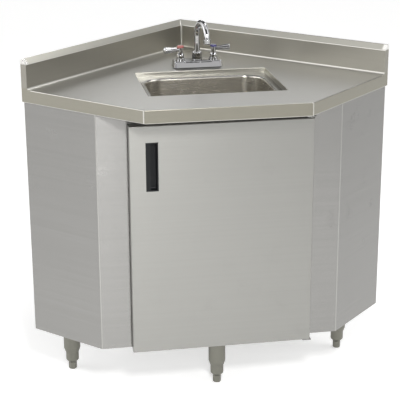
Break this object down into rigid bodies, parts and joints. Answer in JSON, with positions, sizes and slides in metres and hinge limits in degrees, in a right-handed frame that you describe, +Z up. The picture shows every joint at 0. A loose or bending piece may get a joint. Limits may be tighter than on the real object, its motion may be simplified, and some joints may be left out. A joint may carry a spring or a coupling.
{
  "type": "corner sink cabinet",
  "caption": "Five-sided stainless steel corner cabinet with splash, drop-in sink bowl, gooseneck faucet, pivoting door with recessed pull, and adjustable bullet feet.",
  "frame": {"origin": "on the floor, under the middle of the plan's bounding box", "axes": "+Z up, -Y towards the diagonal front with the door, +X to the right of someone facing the door"},
  "size_m": [1.0776, 0.849, 1.0504],
  "materials": {
    "top_steel": "brushed along the sheet",
    "body_steel": "brushed across",
    "bowl_steel": "drawn and satin polished",
    "door_steel": "brushed across",
    "leg_steel": "satin, darker than the panels",
    "bracket_steel": "plain bright steel",
    "drain_steel": "satin",
    "chrome": "polished plating",
    "brass": "machined",
    "black_plastic": "moulded, fine grain",
    "nylon": "moulded",
    "rubber": "moulded",
    "red_index": "moulded cap",
    "blue_index": "moulded cap"
  },
  "bodies": {
    "cabinet": {"deck_top": "top_steel", "left_splash_end_cap": "top_steel", "right_splash_end_cap": "top_steel", "left_deck_channel": "body_steel", "right_deck_channel": "body_steel", "left_side_panel": "body_steel", "right_side_panel": "body_steel", "left_back_panel": "body_steel", "right_back_panel": "body_steel", "base_shelf": "body_steel", "front_header": "body_steel", "sink_bowl": "bowl_steel", "left_leg_plate": "leg_steel", "left_leg": "leg_steel", "right_leg_plate": "leg_steel", "right_leg": "leg_steel", "rear_leg_plate": "leg_steel", "rear_leg": "leg_steel", "front_leg_plate": "leg_steel", "front_leg": "leg_steel", "top_pivot_bracket": "bracket_steel", "bottom_pivot_bracket": "bracket_steel", "pivot_screws": "bracket_steel", "drain_body": "drain_steel", "drain_locknut": "drain_steel", "faucet_body": "chrome", "hot_bonnet": "chrome", "cold_bonnet": "chrome", "spout_nut": "chrome", "drain_tailpiece": "chrome", "drain_coupling_nut": "chrome", "hot_supply_shank": "brass", "cold_supply_shank": "brass", "shank_locknuts": "brass", "magnetic_catch": "black_plastic", "drain_gasket": "rubber", "faucet_gasket": "rubber"},
    "door": {"door_outer_pan": "door_steel", "door_inner_liner": "door_steel", "door_pull": "black_plastic", "door_top_bush": "nylon", "door_bottom_bush": "nylon", "door_strike": "bracket_steel"},
    "hot_handle": {"hot_stem": "brass", "hot_lever": "chrome", "hot_index": "red_index"},
    "cold_handle": {"cold_stem": "brass", "cold_lever": "chrome", "cold_index": "blue_index"},
    "spout": {"gooseneck_spout": "chrome", "spout_aerator": "chrome"},
    "strainer": {"drain_basket": "drain_steel"},
    "left_foot": {"left_foot": "leg_steel"},
    "right_foot": {"right_foot": "leg_steel"},
    "rear_foot": {"rear_foot": "leg_steel"},
    "front_foot": {"front_foot": "leg_steel"}
  },
  "joints": [
    {"name": "door_hinge", "type": "hinge", "parent": "cabinet", "child": "door", "pos_m": [0.254, -0.31522, 0.4956], "axis": [0, 0, 1], "range_deg": [0, 110]},
    {"name": "hot_turn", "type": "hinge", "parent": "cabinet", "child": "hot_handle", "pos_m": [-0.0508, 0.09252, 0.93], "axis": [0, 0, 1], "range_deg": [0, 90]},
    {"name": "cold_turn", "type": "hinge", "parent": "cabinet", "child": "cold_handle", "pos_m": [0.0508, 0.09252, 0.93], "axis": [0, 0, -1], "range_deg": [0, 90]},
    {"name": "spout_swing", "type": "hinge", "parent": "cabinet", "child": "spout", "pos_m": [0, 0.09252, 0.93], "axis": [0, 0, 1], "continuous": true},
    {"name": "strainer_lift", "type": "slide", "parent": "cabinet", "child": "strainer", "axis": [0, 0, 1], "range_m": [0, 0.32]},
    {"name": "left_foot_screw", "type": "slide", "parent": "cabinet", "child": "left_foot", "axis": [0, 0, -1], "range_m": [0, 0.025]},
    {"name": "right_foot_screw", "type": "slide", "parent": "cabinet", "child": "right_foot", "axis": [0, 0, -1], "range_m": [0, 0.025]},
    {"name": "rear_foot_screw", "type": "slide", "parent": "cabinet", "child": "rear_foot", "axis": [0, 0, -1], "range_m": [0, 0.025]},
    {"name": "front_foot_screw", "type": "slide", "parent": "cabinet", "child": "front_foot", "axis": [0, 0, -1], "range_m": [0, 0.025]}
  ]
}
